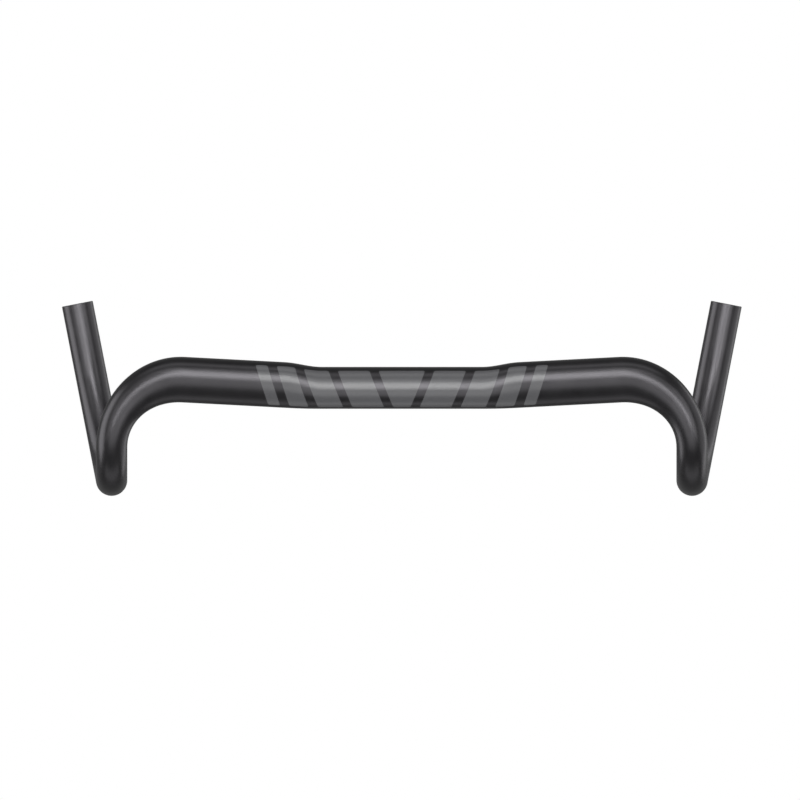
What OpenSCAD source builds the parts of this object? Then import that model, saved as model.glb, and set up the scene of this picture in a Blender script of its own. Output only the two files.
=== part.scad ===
// Drop handlebar: one butted, bent aluminium tube with graphics film on its tops.
// Frame: origin at mid width on the clamp axis. +X is the rider's left, -Y is forwards,
// +Z is up. The right half mirrors the left. All sizes are in millimetres.

/* [Overall] */
// Width between the centres of the two hooks, where the levers sit
hood_width = 440; // [380:5:540]
// Reach, from the clamp axis forwards to the centre of the hooks
reach = 70; // [58:0.5:86]
// Drop, from the tops down to the centre of the grip ends
drop = 115; // [92:0.5:145]

/* [Clamp] */
// Outside diameter where the stem holds the bar
clamp_d = 31.8; // [25.4:0.1:35]
// Length of the straight round zone for the stem
clamp_len = 120; // [80:1:150]
// Wall thickness in the clamp zone
clamp_wall = 2.0; // [1.6:0.1:3]

/* [Tops] */
// Front to back size of the oval tops
top_depth = 34.7; // [30:0.1:42]
// Height of the oval tops
top_height = 28.8; // [24:0.1:34]
// How much fuller the rear of the oval is than its front
top_egg = 0.21; // [0:0.01:0.3]
// Roll of the oval, rear side up
top_roll = 6; // [0:1:15]
// Backward sweep of the tops
back_sweep = 3; // [0:0.5:8]
// Length over which the round clamp zone turns into the oval
blend_len = 30; // [15:1:45]
// Wall thickness of the tops
top_wall = 1.5; // [1.2:0.1:2.5]

/* [Corner] */
// Radius of the bend from the tops to the hooks, seen from above
corner_r = 52; // [42:1:64]
// How steeply the tube dives at the end of that bend
dive = 31.5; // [20:0.5:40]
// How late in the bend the dive starts: higher is later
dive_power = 5; // [2:1:8]
// Direction in the bend, 90 being straight ahead, from which the tube is round
round_from = 85; // [70:1:88]

/* [Hooks and grips] */
// Outside diameter of the hooks and grips
hook_d = 23.8; // [22:0.1:26]
// Wall thickness of the hooks and grips
hook_wall = 1.5; // [1.2:0.1:2.5]
// Radius of the lower hook where it flattens out towards the grip
flat_r = 130; // [80:5:180]
// Angle that this flatter stretch turns through
flat_turn = 28; // [5:1:40]
// Straight length of each grip end
grip_len = 46.5; // [20:0.5:90]
// Outward angle of the grips, seen from above
flare_out = 11; // [0:0.5:20]

/* [Graphics film] */
// Thickness of the film
film_t = 0.04; // [0.03:0.01:0.3]
// Clearance between the film and the tube
film_gap = 0.04; // [0.03:0.01:0.2]
// Half the angle that the film covers around the tube
film_wrap = 60; // [30:1:75]
// Slant of the film's side edges away from the bar's axis
film_slant = 22; // [0:1:35]
// Half the width of the middle piece of film
film_mid = 12; // [6:1:16]
// Bare tube between two pieces of film
film_space = 7; // [3:0.5:10]
// Width of the film piece next to the middle
film_w_1 = 24; // [12:1:26]
// Width of the second film piece
film_w_2 = 19; // [10:1:22]
// Width of the third film piece
film_w_3 = 14; // [6:1:16]
// Width of the outer film piece
film_w_4 = 9; // [4:1:12]

/* [Hidden] */
$fn = 96;

clamp_r = clamp_d / 2;
hook_r = hook_d / 2;
clamp_half = clamp_len / 2;
hood_x = hood_width / 2;

// The tops only grow to the rear, so their front edge runs on from the clamp zone
rear_shift = (top_depth - clamp_d) / 2;
sweep_slope = tan(back_sweep);
corner_turn = 90 + back_sweep;
// Where the bend starts, and the centre of its arc seen from above
corner_x = hood_x - corner_r;
corner_start_x = corner_x - corner_r * sin(back_sweep);
corner_y = top_y(corner_start_x) - corner_r * cos(back_sweep);
dive_depth = corner_r * corner_turn * PI / 180 * tan(dive) / (dive_power + 1);

// The upper hook takes up what is left of the reach, the lower hook what is left of the drop
upper_r = (reach + corner_y) / (1 - sin(dive));
tip = [hood_x, -reach, -dive_depth - upper_r * cos(dive)];

// Below the tip the lower hook turns tightly first, then through its flatter stretch
tight_turn = 90 - flat_turn;
tight_r = round(1000 * (drop + tip[2] - flat_r * (1 - sin(tight_turn))) / sin(tight_turn)) / 1000;

// The lofted stretch runs from the clamp zone to the hooks
sides = 40;
blend_rings = 8;
corner_rings = 15;
// Both ends of the loft run this far into the wall of the exact tube, this deep under its skin
lap = 1;
lap_skin = 0.02;

// Widths of one side's film pieces, counted from the middle
film_widths = [film_w_1, film_w_2, film_w_3, film_w_4];
film_slope = tan(film_slant);
film_rows = 30;
film_step = 3;

function mix(a, b, f) = a + (b - a) * f;
function ease(u) = (1 - cos(180 * max(0, min(1, u)))) / 2;
function blend_at(x) = (x - clamp_half) / blend_len;

// Centre line of the tops: straight through the clamp zone, then swept back
function top_y(x) =
    let (u = max(0, min(1, blend_at(x))))
    sweep_slope * blend_len * (u / 2 - sin(180 * u) / (2 * PI))
    + sweep_slope * max(0, x - clamp_half - blend_len)
    + rear_shift * ease(u);

// A station is [centre, heading, dive, half depth, half height, egg, wall]
function top_station(x) =
    let (e = ease(blend_at(x)))
    [[x, top_y(x), 0], -back_sweep * e, 0,
     mix(clamp_r, top_depth / 2, e), mix(clamp_r, top_height / 2, e), top_egg * e,
     mix(clamp_wall, top_wall, e)];

function corner_station(heading) =
    let (share = (heading + back_sweep) / corner_turn,
         e = 1 - ease((heading + back_sweep) / (round_from + back_sweep)))
    [[corner_x + corner_r * sin(heading), corner_y + corner_r * cos(heading),
      -dive_depth * pow(share, dive_power + 1)],
     heading, atan(tan(dive) * pow(share, dive_power)),
     mix(hook_r, top_depth / 2, e), mix(hook_r, top_height / 2, e), top_egg * e,
     mix(hook_wall, top_wall, e)];

// A round station inside the wall of an exact tube
function lap_station(centre, heading, dip, r, wall) =
    let (outer = r - lap_skin, inner = (r - wall) / cos(180 / sides) + lap_skin)
    [centre, heading, dip, outer, outer, 0, outer - inner];

// Directions across the tube at a station: outwards or rearwards, and upwards
function across(s) = [sin(s[1]), cos(s[1]), 0];
function along(s) = [cos(s[1]) * cos(s[2]), -sin(s[1]) * cos(s[2]), -sin(s[2])];
function depth_axis(s) = across(s) * cos(top_roll) + cross(along(s), across(s)) * sin(top_roll);
function height_axis(s) = cross(along(s), across(s)) * cos(top_roll) - across(s) * sin(top_roll);

// A point at angle t around a station's oval, moved out by lift
function oval_point(s, t, lift) =
    let (n = [s[4] * (cos(t) + s[5] * cos(2 * t)), s[3] * sin(t)],
         p = [s[3] * cos(t), s[4] * sin(t) * (1 + s[5] * cos(t))] + n / norm(n) * lift)
    s[0] + depth_axis(s) * p[0] + height_axis(s) * p[1];

function ring(s, lift) = [for (i = [0 : sides - 1]) oval_point(s, 360 * (i + 0.5) / sides, lift)];

tube_stations = [
    lap_station([clamp_half, 0, 0], 0, 0, clamp_r, clamp_wall),
    lap_station([clamp_half + lap, 0, 0], 0, 0, clamp_r, clamp_wall),
    for (i = [1 : blend_rings]) top_station(clamp_half + lap + (blend_len - lap) * i / blend_rings),
    for (i = [0 : corner_rings - 1]) corner_station(-back_sweep + corner_turn * i / corner_rings),
    for (shift = [-lap / 2, lap / 2])
        let (s = corner_station(90))
        lap_station(s[0] + along(s) * shift, s[1], s[2], hook_r, hook_wall)
];

// A closed tube wall through all stations
module loft(stations) {
    rings = len(stations);
    outer = [for (s = stations) each ring(s, 0)];
    inner = [for (s = stations) each ring(s, -s[6])];
    inside = rings * sides;
    wall = [for (k = [0 : rings - 2], i = [0 : sides - 1])
        let (a = k * sides + i, b = k * sides + (i + 1) % sides)
        each [[a, a + sides, b + sides], [a, b + sides, b]]];
    lining = [for (f = wall) [f[2] + inside, f[1] + inside, f[0] + inside]];
    ends = [for (k = [0, rings - 1], i = [0 : sides - 1])
        let (a = k * sides + i, b = k * sides + (i + 1) % sides)
        k == 0 ? [a, b, b + inside, a + inside] : [b, a, a + inside, b + inside]];
    polyhedron(concat(outer, inner), concat(wall, lining, ends));
}

module wall_profile(r, wall) {
    difference() {
        circle(r);
        circle(r - wall);
    }
}

module clamp_zone() {
    rotate([0, 90, 0]) linear_extrude(clamp_len + lap, center = true) wall_profile(clamp_r, clamp_wall);
}

// A shift in two steps, so that the small second step keeps the last digits
module finely(shift) {
    coarse = [for (v = shift) round(10 * v) / 10];
    translate(coarse) translate(shift - coarse) children();
}

// Hook and grip, from the bend down to the tip, back to level and out to the open end.
// The side is 1 for the rider's left and -1 for the right. At the tip the upper hook lies
// half the flare inwards of a middle plane and the lower hook half outwards
module hook(side) {
    half_flare = side * flare_out / 2;
    translate([side * tip[0], tip[1], tip[2]]) rotate([0, 0, -half_flare]) {
        rotate([90, 0, 90 + half_flare]) translate([upper_r, 0, 0])
            rotate_extrude(angle = 90 - dive, start = 90 + dive)
            translate([upper_r, 0]) wall_profile(hook_r, hook_wall);
        rotate([90, 0, 90 - half_flare]) {
            translate([tight_r, 0, 0]) rotate_extrude(angle = tight_turn, start = 180)
                translate([tight_r, 0]) wall_profile(hook_r, hook_wall);
            finely([tight_r, 0, 0] + (flat_r - tight_r) * [cos(tight_turn), sin(tight_turn), 0]) {
                rotate_extrude(angle = flat_turn, start = 180 + tight_turn)
                    translate([flat_r, 0]) wall_profile(hook_r, hook_wall);
                translate([0, -flat_r, 0]) rotate([0, 90, 0])
                    linear_extrude(grip_len) wall_profile(hook_r, hook_wall);
            }
        }
    }
}

module handlebar_tube() {
    color("#2a2a2c") union() {
        clamp_zone();
        loft(tube_stations);
        mirror([1, 0, 0]) loft(tube_stations);
        hook(1);
        hook(-1);
    }
}

// A thin closed patch over the top of the tube. Each side edge is given by its place on the
// middle line and its slope, rearwards
module film(x_in, slope_in, x_out, slope_out) {
    columns = ceil((x_out - x_in) / film_step);
    row = film_rows + 1;
    function film_point(i, j, lift) =
        let (t = mix(90 + film_wrap, 90 - film_wrap, j / film_rows),
             y = clamp_r * cos(t),
             x = mix(x_in + slope_in * y, x_out + slope_out * y, i / columns))
        oval_point(top_station(x), t, lift);
    under = [for (i = [0 : columns], j = [0 : film_rows]) film_point(i, j, film_gap)];
    over = [for (i = [0 : columns], j = [0 : film_rows]) film_point(i, j, film_gap + film_t)];
    top = len(under);
    bottom_faces = [for (i = [0 : columns - 1], j = [0 : film_rows - 1])
        let (a = i * row + j, b = a + row)
        each [[a, a + 1, b + 1], [a, b + 1, b]]];
    top_faces = [for (f = bottom_faces) [f[2] + top, f[1] + top, f[0] + top]];
    side_faces = [for (j = [0 : film_rows - 1], i = [0, columns])
        let (a = i * row + j, b = a + 1)
        i == 0 ? [b, a, a + top, b + top] : [a, b, b + top, a + top]];
    end_faces = [for (i = [0 : columns - 1], j = [0, film_rows])
        let (a = i * row + j, b = a + row)
        j == 0 ? [a, b, b + top, a + top] : [b, a, a + top, b + top]];
    color("#68686b") polyhedron(concat(under, over),
                                concat(bottom_faces, top_faces, side_faces, end_faces));
}

// Film piece number i of the left side, counted from the middle
function film_start(i) = film_space + (i == 0 ? film_mid : film_start(i - 1) + film_widths[i - 1]);

module side_film(i) {
    film(film_start(i), film_slope, film_start(i) + film_widths[i], film_slope);
}

module film_middle() {
    film(-film_mid, -film_slope, film_mid, film_slope);
}

module film_left_1() { side_film(0); }
module film_left_2() { side_film(1); }
module film_left_3() { side_film(2); }
module film_left_4() { side_film(3); }
module film_right_1() { mirror([1, 0, 0]) side_film(0); }
module film_right_2() { mirror([1, 0, 0]) side_film(1); }
module film_right_3() { mirror([1, 0, 0]) side_film(2); }
module film_right_4() { mirror([1, 0, 0]) side_film(3); }

handlebar_tube();
film_middle();
film_left_1();
film_left_2();
film_left_3();
film_left_4();
film_right_1();
film_right_2();
film_right_3();
film_right_4();
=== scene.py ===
import math

import bmesh
import bpy
from mathutils import Matrix, Vector


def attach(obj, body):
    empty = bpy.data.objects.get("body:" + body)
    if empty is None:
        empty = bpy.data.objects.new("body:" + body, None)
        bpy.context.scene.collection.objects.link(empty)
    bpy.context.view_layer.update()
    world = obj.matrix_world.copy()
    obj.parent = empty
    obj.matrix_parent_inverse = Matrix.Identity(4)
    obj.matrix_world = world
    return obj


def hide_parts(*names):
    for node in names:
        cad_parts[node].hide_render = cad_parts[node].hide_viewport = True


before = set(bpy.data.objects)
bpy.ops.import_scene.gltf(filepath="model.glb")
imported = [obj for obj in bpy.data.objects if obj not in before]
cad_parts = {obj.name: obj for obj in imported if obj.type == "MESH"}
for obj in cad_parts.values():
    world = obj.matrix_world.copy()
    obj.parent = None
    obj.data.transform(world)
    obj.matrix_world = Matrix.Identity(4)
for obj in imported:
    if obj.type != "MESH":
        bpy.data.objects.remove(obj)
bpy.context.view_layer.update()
scene = bpy.context.scene
mm = 0.001
print("frame loaded:", len(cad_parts), "CAD nodes")


# camera: straight down on the bar, with the hooks towards the bottom of the view
cameraSetup = {
    "height": 2.0,                  # metres above the clamp axis
    "viewWidth": 0.6064,            # metres of the bar's plane that the view takes in
    "centre": (-0.0014, -0.0092),   # metres, across and rearwards
    "farthest": 20,                 # metres, beyond the floor
}


def makeCamera():
    data = bpy.data.cameras.new("topCamera")
    data.type = "ORTHO"
    data.ortho_scale = cameraSetup["viewWidth"]
    data.clip_end = cameraSetup["farthest"]
    camera = bpy.data.objects.new("topCamera", data)
    camera.location = (*cameraSetup["centre"], cameraSetup["height"])
    scene.collection.objects.link(camera)
    scene.camera = camera


makeCamera()
print("camera placed")


def linearColour(hexCode):
    shares = [int(hexCode[i:i + 2], 16) / 255 for i in (1, 3, 5)]
    return (*[s / 12.92 if s <= 0.04045 else ((s + 0.055) / 1.055) ** 2.4 for s in shares], 1.0)


# settings go to a property of that name, or else to the socket; links are socket: (node, output)
def addNode(material, kind, settings=None, links=None):
    node = material.node_tree.nodes.new(kind)
    for name, value in (settings or {}).items():
        if isinstance(name, str) and hasattr(node, name):
            setattr(node, name, value)
        else:
            node.inputs[name].default_value = value
    for name, (source, output) in (links or {}).items():
        material.node_tree.links.new(source.outputs[output], node.inputs[name])
    return node


# numbers of the Mix node's colour sockets: the two that it mixes, and the result
firstColour, secondColour, mixedColour = 6, 7, 2


def newMaterial(name):
    material = bpy.data.materials.new(name)
    material.use_nodes = True
    material.node_tree.nodes.clear()
    return material


# aluminium tube, bead-blasted and then black anodised
anodising = {
    "dark": "#3b3a3c",
    "light": "#434244",
    "roughness": (0.31, 0.35),   # smoothest and roughest patches of the dyed oxide
    "patch": 14.0,               # mm, how far apart the dye's faint light and dark patches are
    "grit": 0.7,                 # mm, the blasted pits are 0.1 to 0.2 and drawn this coarse to show
    "pitDepth": 0.004,           # mm
    # painted shade: the bore's base colour, darker than the skin's so that the open ends look deep
    "borePaintedShade": "#2b2a2c",
    "boreRoughness": 0.55,
}


# The blasted surface spreads every reflection into a soft satin band with no sharp edge, the dyed
# oxide keeps it dark and a touch violet, and the fine pits break the band up like fine paper
def anodisedAluminiumBeadBlasted():
    material = newMaterial("anodisedAluminiumBeadBlasted")
    place = addNode(material, "ShaderNodeTexCoord")
    patches = addNode(material, "ShaderNodeTexNoise",
                      {"Scale": 1 / (anodising["patch"] * mm), "Detail": 3.0},
                      {"Vector": (place, "Object")})
    pits = addNode(material, "ShaderNodeTexNoise",
                   {"Scale": 1 / (anodising["grit"] * mm), "Detail": 2.0, "Roughness": 0.6},
                   {"Vector": (place, "Object")})
    colour = addNode(material, "ShaderNodeMix",
                     {"data_type": "RGBA", firstColour: linearColour(anodising["dark"]),
                      secondColour: linearColour(anodising["light"])},
                     {0: (patches, "Fac")})
    smoothest, roughest = anodising["roughness"]
    # the noise seldom leaves 0.3 to 0.7, so that stretch is spread over the two roughnesses
    rough = addNode(material, "ShaderNodeMapRange",
                    {"From Min": 0.3, "From Max": 0.7, "To Min": smoothest, "To Max": roughest},
                    {"Value": (patches, "Fac")})
    bump = addNode(material, "ShaderNodeBump",
                   {"Strength": 0.5, "Distance": anodising["pitDepth"] * mm},
                   {"Height": (pits, "Fac")})
    surface = addNode(material, "ShaderNodeBsdfPrincipled", {"Metallic": 1.0},
                      {"Base Color": (colour, mixedColour), "Roughness": (rough, "Result"),
                       "Normal": (bump, "Normal")})
    addNode(material, "ShaderNodeOutputMaterial", None, {"Surface": (surface, "BSDF")})
    return material


# The bore is left as drawn and dyed in the same bath, so it is duller than the skin. Its base colour
# is painted shade: unevenly darker than the skin, so the open ends look deep
def anodisedBoreWithPaintedShade():
    material = newMaterial("anodisedBoreWithPaintedShade")
    place = addNode(material, "ShaderNodeTexCoord")
    patches = addNode(material, "ShaderNodeTexNoise",
                      {"Scale": 1 / (anodising["patch"] * mm), "Detail": 5.0},
                      {"Vector": (place, "Object")})
    # painted shade: the bore's colour is patched between the painted-shade grey and the skin's dark
    # grey
    colour = addNode(material, "ShaderNodeMix",
                     {"data_type": "RGBA", firstColour: linearColour(anodising["borePaintedShade"]),
                      secondColour: linearColour(anodising["dark"])},
                     {0: (patches, "Fac")})
    surface = addNode(material, "ShaderNodeBsdfPrincipled",
                      {"Metallic": 1.0, "Roughness": anodising["boreRoughness"]},
                      {"Base Color": (colour, mixedColour)})
    addNode(material, "ShaderNodeOutputMaterial", None, {"Surface": (surface, "BSDF")})
    return material


# transfer film, grey ink under a thin clear coat
transferFilm = {
    "ink": "#424244",
    "inkLight": "#48484a",
    "roughness": 0.29,
    "inkGrain": 1.6,     # mm, a printed ink's specks are finer and drawn this coarse to show
    "pitDepth": 0.002,   # mm, what the film lets through of the blasting under it
}


# Ink scatters light, so the film is grey even where the tube beside it is black, and its smooth
# top adds the same soft band of light, only brighter
def printedTransferFilm():
    material = newMaterial("printedTransferFilm")
    place = addNode(material, "ShaderNodeTexCoord")
    grain = addNode(material, "ShaderNodeTexNoise",
                    {"Scale": 1 / (transferFilm["inkGrain"] * mm), "Detail": 2.0},
                    {"Vector": (place, "Object")})
    colour = addNode(material, "ShaderNodeMix",
                     {"data_type": "RGBA", firstColour: linearColour(transferFilm["ink"]),
                      secondColour: linearColour(transferFilm["inkLight"])},
                     {0: (grain, "Fac")})
    bump = addNode(material, "ShaderNodeBump",
                   {"Strength": 0.4, "Distance": transferFilm["pitDepth"] * mm},
                   {"Height": (grain, "Fac")})
    surface = addNode(material, "ShaderNodeBsdfPrincipled",
                      {"Roughness": transferFilm["roughness"], "IOR": 1.5},
                      {"Base Color": (colour, mixedColour), "Normal": (bump, "Normal")})
    addNode(material, "ShaderNodeOutputMaterial", None, {"Surface": (surface, "BSDF")})
    return material


tubeSkin = anodisedAluminiumBeadBlasted()
tubeBore = anodisedBoreWithPaintedShade()
filmInk = printedTransferFilm()
print("materials made")


# the bent tube: sizes in mm and degrees, the same as the CAD tube's
bar = {
    "hoodWidth": 440, "reach": 70, "drop": 115,
    "clampD": 31.8, "clampLen": 120, "clampWall": 2.0,
    "topDepth": 34.7, "topHeight": 28.8, "topEgg": 0.21, "topRoll": 6, "backSweep": 3,
    "blendLen": 30, "topWall": 1.5,
    "cornerR": 52, "dive": 31.5, "divePower": 5, "roundFrom": 85,
    "hookD": 23.8, "hookWall": 1.5, "flatR": 130, "flatTurn": 28, "gripLen": 46.5, "flareOut": 11,
    "endChamfer": 0.4,
    "sides": 80,       # points around each ring
    # how many rings each stretch has, from the middle out to the open end
    "rings": {"clamp": 6, "blend": 20, "tops": 10, "corner": 48, "upperHook": 24, "tightHook": 24,
              "flatHook": 14, "grip": 8},
}
clampR = bar["clampD"] / 2
hookR = bar["hookD"] / 2
clampHalf = bar["clampLen"] / 2
hoodX = bar["hoodWidth"] / 2
sweep = math.radians(bar["backSweep"])
dive = math.radians(bar["dive"])
flare = math.radians(bar["flareOut"])
rearShift = (bar["topDepth"] - bar["clampD"]) / 2
cornerTurn = math.pi / 2 + sweep


def mix(a, b, share):
    return a + (b - a) * share


def ease(share):
    return (1 - math.cos(math.pi * max(0, min(1, share)))) / 2


def blendAt(x):
    return (x - clampHalf) / bar["blendLen"]


# how far back the tops' centre line lies at x
def topY(x):
    share = max(0, min(1, blendAt(x)))
    swept = bar["blendLen"] * (share / 2 - math.sin(math.pi * share) / (2 * math.pi))
    swept += max(0, x - clampHalf - bar["blendLen"])
    return math.tan(sweep) * swept + rearShift * ease(share)


cornerX = hoodX - bar["cornerR"]
cornerStartX = cornerX - bar["cornerR"] * math.sin(sweep)
cornerY = topY(cornerStartX) - bar["cornerR"] * math.cos(sweep)
diveDepth = bar["cornerR"] * cornerTurn * math.tan(dive) / (bar["divePower"] + 1)
upperR = (bar["reach"] + cornerY) / (1 - math.sin(dive))
tip = Vector((hoodX, -bar["reach"], -diveDepth - upperR * math.cos(dive)))
tightTurn = math.pi / 2 - math.radians(bar["flatTurn"])
tightR = (bar["drop"] + tip.z - bar["flatR"] * (1 - math.sin(tightTurn))) / math.sin(tightTurn)


# one ring's place: where it is, where the tube heads and dips there, and the oval's half sizes
def station(centre, heading, dip, depth, height, egg, wall, turn=0.0):
    across = Vector((math.sin(heading), math.cos(heading), 0))
    level = Vector((math.cos(heading), -math.sin(heading), 0))
    along = level * math.cos(dip) + Vector((0, 0, -math.sin(dip)))
    upward = along.cross(across)
    roll = math.radians(bar["topRoll"])
    return {
        "centre": Vector(centre), "depth": depth, "height": height, "egg": egg, "wall": wall,
        "turn": turn,
        "depthAxis": across * math.cos(roll) + upward * math.sin(roll),
        "heightAxis": upward * math.cos(roll) - across * math.sin(roll),
    }


def topStation(x):
    e = ease(blendAt(x))
    return station((x, topY(x), 0), -sweep * e, 0, mix(clampR, bar["topDepth"] / 2, e),
                   mix(clampR, bar["topHeight"] / 2, e), bar["topEgg"] * e,
                   mix(bar["clampWall"], bar["topWall"], e))


def cornerStation(share):
    heading = -sweep + cornerTurn * share
    e = 1 - ease(share * cornerTurn / (math.radians(bar["roundFrom"]) + sweep))
    centre = (cornerX + bar["cornerR"] * math.sin(heading),
              cornerY + bar["cornerR"] * math.cos(heading),
              -diveDepth * share ** (bar["divePower"] + 1))
    return station(centre, heading, math.atan(math.tan(dive) * share ** bar["divePower"]),
                   mix(hookR, bar["topDepth"] / 2, e), mix(hookR, bar["topHeight"] / 2, e),
                   bar["topEgg"] * e, mix(bar["hookWall"], bar["topWall"], e))


def hookStation(centre, heading, dip, turn=0.0):
    return station(centre, heading, dip, hookR, hookR, 0, bar["hookWall"], turn)


def upperHookStation(share):
    dip = mix(dive, math.pi / 2, share)
    back = tip + Vector((0, upperR, 0))
    return hookStation(back + Vector((0, -math.sin(dip), math.cos(dip))) * upperR, math.pi / 2, dip)


# the grips run back and out by the flare; the turn keeps the ring's points in line past the tip
gripWay = Vector((math.sin(flare), math.cos(flare), 0))


# a point of the lower hook's plane, given backwards along the grip and upwards from the tip
def hookPoint(back, up):
    return tip + gripWay * back + Vector((0, 0, up))


# one arc of the lower hook, from its middle point, where the tube has turned this far past the tip
def lowerHookStation(middle, radius, turned):
    back, up = middle
    centre = hookPoint(back - radius * math.cos(turned), up - radius * math.sin(turned))
    return hookStation(centre, math.pi / 2 + flare, math.pi / 2 + turned, -flare)


tightMiddle = (tightR, 0)
flatMiddle = (tightR + (bar["flatR"] - tightR) * math.cos(tightTurn),
              (bar["flatR"] - tightR) * math.sin(tightTurn))


def gripStation(length):
    start = hookPoint(flatMiddle[0], flatMiddle[1] - bar["flatR"])
    return hookStation(start + gripWay * length, math.pi / 2 + flare, math.pi, -flare)


# a point on a station's oval, at an angle from its rear over its top, and moved out by lift
def ovalPoint(place, angle, lift):
    a, b, egg = place["depth"], place["height"], place["egg"]
    normal = Vector((b * (math.cos(angle) + egg * math.cos(2 * angle)), a * math.sin(angle)))
    flat = Vector((a * math.cos(angle), b * math.sin(angle) * (1 + egg * math.cos(angle))))
    flat += normal.normalized() * lift
    return place["centre"] + place["depthAxis"] * flat.x + place["heightAxis"] * flat.y


def ring(place, lift):
    angles = [2 * math.pi * i / bar["sides"] + place["turn"] for i in range(bar["sides"])]
    return [ovalPoint(place, angle, lift) for angle in angles]


# shares of a stretch from its start to its end, as many as it has rings
def steps(stretch, skipFirst=True):
    count = bar["rings"][stretch]
    return [i / count for i in range(1 if skipFirst else 0, count + 1)]


# one half of the bar as stations from the middle to just short of the open end
def halfStations():
    blendEnd = clampHalf + bar["blendLen"]
    cut = bar["gripLen"] - bar["endChamfer"]
    places = [topStation(clampHalf * s) for s in steps("clamp", False)]
    places += [topStation(clampHalf + bar["blendLen"] * s) for s in steps("blend")]
    places += [topStation(mix(blendEnd, cornerStartX, s)) for s in steps("tops")]
    places += [cornerStation(s) for s in steps("corner")]
    places += [upperHookStation(s) for s in steps("upperHook")]
    places += [lowerHookStation(tightMiddle, tightR, tightTurn * s) for s in steps("tightHook")]
    places += [lowerHookStation(flatMiddle, bar["flatR"], mix(tightTurn, math.pi / 2, s))
               for s in steps("flatHook")]
    places += [gripStation(cut * s) for s in steps("grip")]
    return places


# outer skin out to the end, the chamfered rim, then the bore back to the middle
def halfRings():
    places = halfStations()
    end = gripStation(bar["gripLen"])
    chamfer = bar["endChamfer"]
    skin = [ring(p, 0) for p in places] + [ring(end, -chamfer)]
    bore = [ring(end, chamfer - bar["hookWall"])] + [ring(p, -p["wall"]) for p in reversed(places)]
    return skin, bore


def mirrored(points):
    return [Vector((-p.x, p.y, p.z)) for p in points]


# edges that bend more than this stay sharp: the bar's rims and the film's edges
sharpBend = math.radians(30)


def placeMesh(name, mesh, materials):
    mesh.update()
    for material in materials:
        mesh.materials.append(material)
    mesh.polygons.foreach_set("use_smooth", [True] * len(mesh.polygons))
    mesh.set_sharp_from_angle(angle=sharpBend)
    piece = bpy.data.objects.new(name, mesh)
    scene.collection.objects.link(piece)
    return piece


def makeTube():
    skin, bore = halfRings()
    # right end to left end along the skin, and back through the bore, as one closed loop of rings
    loop = [mirrored(r) for r in reversed(skin[1:])] + skin
    loop += bore + [mirrored(r) for r in reversed(bore[:-1])]
    boreStart = 2 * len(skin) - 1
    shell = bmesh.new()
    rings = [[shell.verts.new(p * mm) for p in points] for points in loop]
    for k, here in enumerate(rings):
        onward = rings[(k + 1) % len(rings)]
        for i in range(bar["sides"]):
            j = (i + 1) % bar["sides"]
            face = shell.faces.new((here[i], onward[i], onward[j], here[j]))
            face.material_index = 1 if boreStart <= k < len(rings) - 1 else 0
    bmesh.ops.recalc_face_normals(shell, faces=shell.faces)
    mesh = bpy.data.meshes.new("handlebarTube")
    shell.to_mesh(mesh)
    shell.free()
    tube = placeMesh("handlebarTube", mesh, (tubeSkin, tubeBore))
    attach(tube, "root")
    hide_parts("handlebar_tube")
    return tube


tube = makeTube()
print("tube made:", len(tube.data.polygons), "faces")


# the film pieces on the tops: sizes in mm and degrees, the same as the CAD film's
film = {
    "gap": 0.04, "thickness": 0.04, "wrap": 60, "slant": 22, "middleHalf": 12, "space": 7,
    "widths": (24, 19, 14, 9),
    "cornerR": 1.5,      # rounding of the cut corners
    "cornerRows": 6,     # around each rounded corner
    "rows": 36,          # around the tube between the rounded stretches
    "columnStep": 1.5,   # along the tube
}


# rows around the tube as angles from the front edge to the rear one, and how far each is pulled in
def filmRows():
    half = math.radians(film["wrap"])
    radius = film["cornerR"]
    quarter = [math.pi / 2 * q / film["cornerRows"] for q in range(film["cornerRows"])]
    nearEdge = [(radius * (1 - math.cos(turn)), radius * (1 - math.sin(turn))) for turn in quarter]
    length = 2 * half * clampR
    between = [(mix(radius, length - radius, i / film["rows"]), 0) for i in range(film["rows"] + 1)]
    farEdge = [(length - d, pull) for d, pull in reversed(nearEdge)]
    return [(math.pi / 2 + half - d / clampR, pull) for d, pull in nearEdge + between + farEdge]


# one closed piece between two slanted edges, each given by its x on the middle line and its slope
def makeFilm(name, node, edges, side=1):
    (xIn, slopeIn), (xOut, slopeOut) = edges
    columns = math.ceil((xOut - xIn) / film["columnStep"])
    rows = filmRows()
    sheet = bmesh.new()

    def layer(lift):
        grid = []
        for i in range(columns + 1):
            column = []
            for angle, pull in rows:
                y = clampR * math.cos(angle)
                x = mix(xIn + slopeIn * y + pull, xOut + slopeOut * y - pull, i / columns)
                point = ovalPoint(topStation(x), angle, lift) * mm
                column.append(sheet.verts.new((side * point.x, point.y, point.z)))
            grid.append(column)
        return grid

    under, over = layer(film["gap"]), layer(film["gap"] + film["thickness"])
    last = len(rows) - 1
    for i in range(columns):
        for j in range(last):
            for grid in (under, over):
                sheet.faces.new((grid[i][j], grid[i + 1][j], grid[i + 1][j + 1], grid[i][j + 1]))
        for j in (0, last):
            sheet.faces.new((under[i][j], under[i + 1][j], over[i + 1][j], over[i][j]))
    for j in range(last):
        for i in (0, columns):
            sheet.faces.new((under[i][j], under[i][j + 1], over[i][j + 1], over[i][j]))
    bmesh.ops.recalc_face_normals(sheet, faces=sheet.faces)
    mesh = bpy.data.meshes.new(name)
    sheet.to_mesh(mesh)
    sheet.free()
    piece = placeMesh(name, mesh, (filmInk,))
    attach(piece, "root")
    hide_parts(node)


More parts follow.
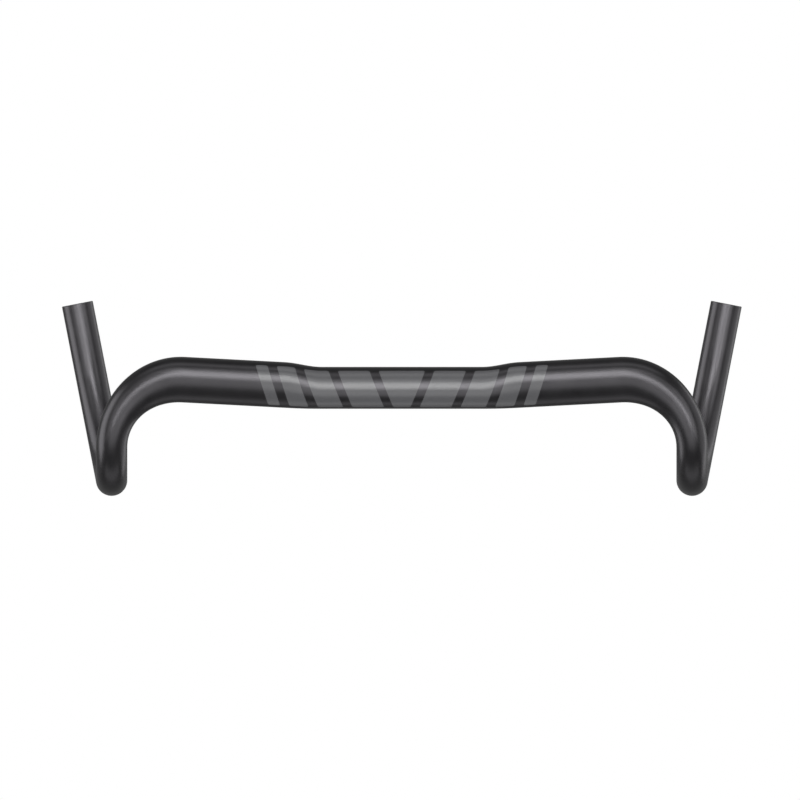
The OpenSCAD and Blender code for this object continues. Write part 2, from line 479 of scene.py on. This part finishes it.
def makeAllFilm():
    slope = math.tan(math.radians(film["slant"]))
    half = film["middleHalf"]
    makeFilm("filmMiddle", "film_middle", ((-half, -slope), (half, slope)))
    start = half + film["space"]
    for number, width in enumerate(film["widths"], 1):
        for sideName, side in (("Left", 1), ("Right", -1)):
            makeFilm(f"film{sideName}{number}", f"film_{sideName.lower()}_{number}",
                     ((start, slope), (start + width, slope)), side)
        start += width + film["space"]


makeAllFilm()
print("film pieces made")


# plain white floor under the bar; it shows to the camera only, so it throws no light up
floorSetup = {
    "size": 12.0,        # metres
    "drop": 0.135,       # metres below the clamp axis
    "white": 1.0,
}


def makeFloor():
    half = floorSetup["size"] / 2
    plane = bmesh.new()
    corners = [(-half, -half), (half, -half), (half, half), (-half, half)]
    plane.faces.new([plane.verts.new((x, y, -floorSetup["drop"])) for x, y in corners])
    mesh = bpy.data.meshes.new("floor")
    plane.to_mesh(mesh)
    plane.free()
    material = newMaterial("whitePaper")
    glow = addNode(material, "ShaderNodeEmission", {"Strength": floorSetup["white"]})
    addNode(material, "ShaderNodeOutputMaterial", None, {"Surface": (glow, "Emission")})
    mesh.materials.append(material)
    floor = bpy.data.objects.new("floor", mesh)
    scene.collection.objects.link(floor)
    for ray in ("diffuse", "glossy", "transmission", "volume_scatter", "shadow"):
        setattr(floor, "visible_" + ray, False)


# soft boxes far off, so that both ends of the bar mirror the same light. Each one lies at an angle
# from straight up towards the front and towards the rider's left, with its half sizes along those
# two ways, all in degrees, and its brightness against the white floor
studio = {
    "distance": 8.0,    # metres
    "air": 0.25,        # light from all around
    "boxes": {
        "overheadStrip": {"front": -19.5, "left": 0, "half": (9, 5.5), "bright": 11.5},
        "overheadBand": {"front": -6, "left": 0, "half": (4.5, 16.5), "bright": 8.3},
        "overheadMiddle": {"front": 3, "left": 0, "half": (4.5, 5.5), "bright": 8.4},
        "overheadLeft": {"front": 7.5, "left": 22, "half": (9, 5.5), "bright": 10.8},
        "overheadRight": {"front": 7.5, "left": -22, "half": (9, 5.5), "bright": 8.0},
        "rearHigh": {"front": -39, "left": 0, "half": (8, 26), "bright": 1.75},
        "rearLow": {"front": -76, "left": 0, "half": (11, 34), "bright": 1.2},
        "frontHigh": {"front": 32, "left": 0, "half": (14, 26), "bright": 1.5},
        "frontLow": {"front": 98, "left": 0, "half": (11, 34), "bright": 0.85},
        "leftHigh": {"front": 0, "left": 43, "half": (26, 9), "bright": 2.45},
        "leftLow": {"front": 0, "left": 92.5, "half": (34, 21), "bright": 0.9},
        "leftUnder": {"front": 0, "left": 125, "half": (34, 11), "bright": 1.8},
        "rightHigh": {"front": 0, "left": -43, "half": (26, 9), "bright": 1.4},
        "rightLow": {"front": 0, "left": -92.5, "half": (34, 21), "bright": 3.0},
    },
}


def makeBox(name, front, left, half, bright):
    front, left = math.radians(front), math.radians(left)
    if left and front:
        away = Vector((math.tan(left), -math.tan(front), 1)).normalized()
    else:
        away = Vector((math.sin(left), -math.sin(front), math.cos(left + front)))
    # the box's own X runs to the rider's left, or straight down where the box faces from a side
    sideways = Vector((1, 0, 0)) if abs(left) < math.pi / 4 else Vector((0, 0, -1))
    sideways = (sideways - away * sideways.dot(away)).normalized()
    upward = away.cross(sideways)
    data = bpy.data.lights.new(name, "AREA")
    data.shape = "RECTANGLE"
    data.size_y, data.size = [2 * studio["distance"] * math.tan(math.radians(h)) for h in half]
    data.energy = math.pi * data.size * data.size_y * bright
    light = bpy.data.objects.new(name, data)
    light.matrix_world = Matrix((sideways, upward, away)).transposed().to_4x4()
    light.location = away * studio["distance"]
    light.visible_camera = False
    scene.collection.objects.link(light)


# the camera sees white past the floor's edge, everything else only the dim air
def makeAir():
    world = bpy.data.worlds.new("studioAir")
    world.use_nodes = True
    world.node_tree.nodes.clear()
    seen = addNode(world, "ShaderNodeLightPath")
    white, air = [addNode(world, "ShaderNodeBackground", {"Color": (1, 1, 1, 1), "Strength": strength})
                  for strength in (floorSetup["white"], studio["air"])]
    either = addNode(world, "ShaderNodeMixShader", None,
                     {0: (seen, "Is Camera Ray"), 1: (air, "Background"), 2: (white, "Background")})
    addNode(world, "ShaderNodeOutputWorld", None, {"Surface": (either, "Shader")})
    scene.world = world


makeFloor()
for boxName, boxSetup in studio["boxes"].items():
    makeBox(boxName, **boxSetup)
makeAir()
scene.view_settings.view_transform = "Standard"
scene.view_settings.look = "None"
print("studio lit")
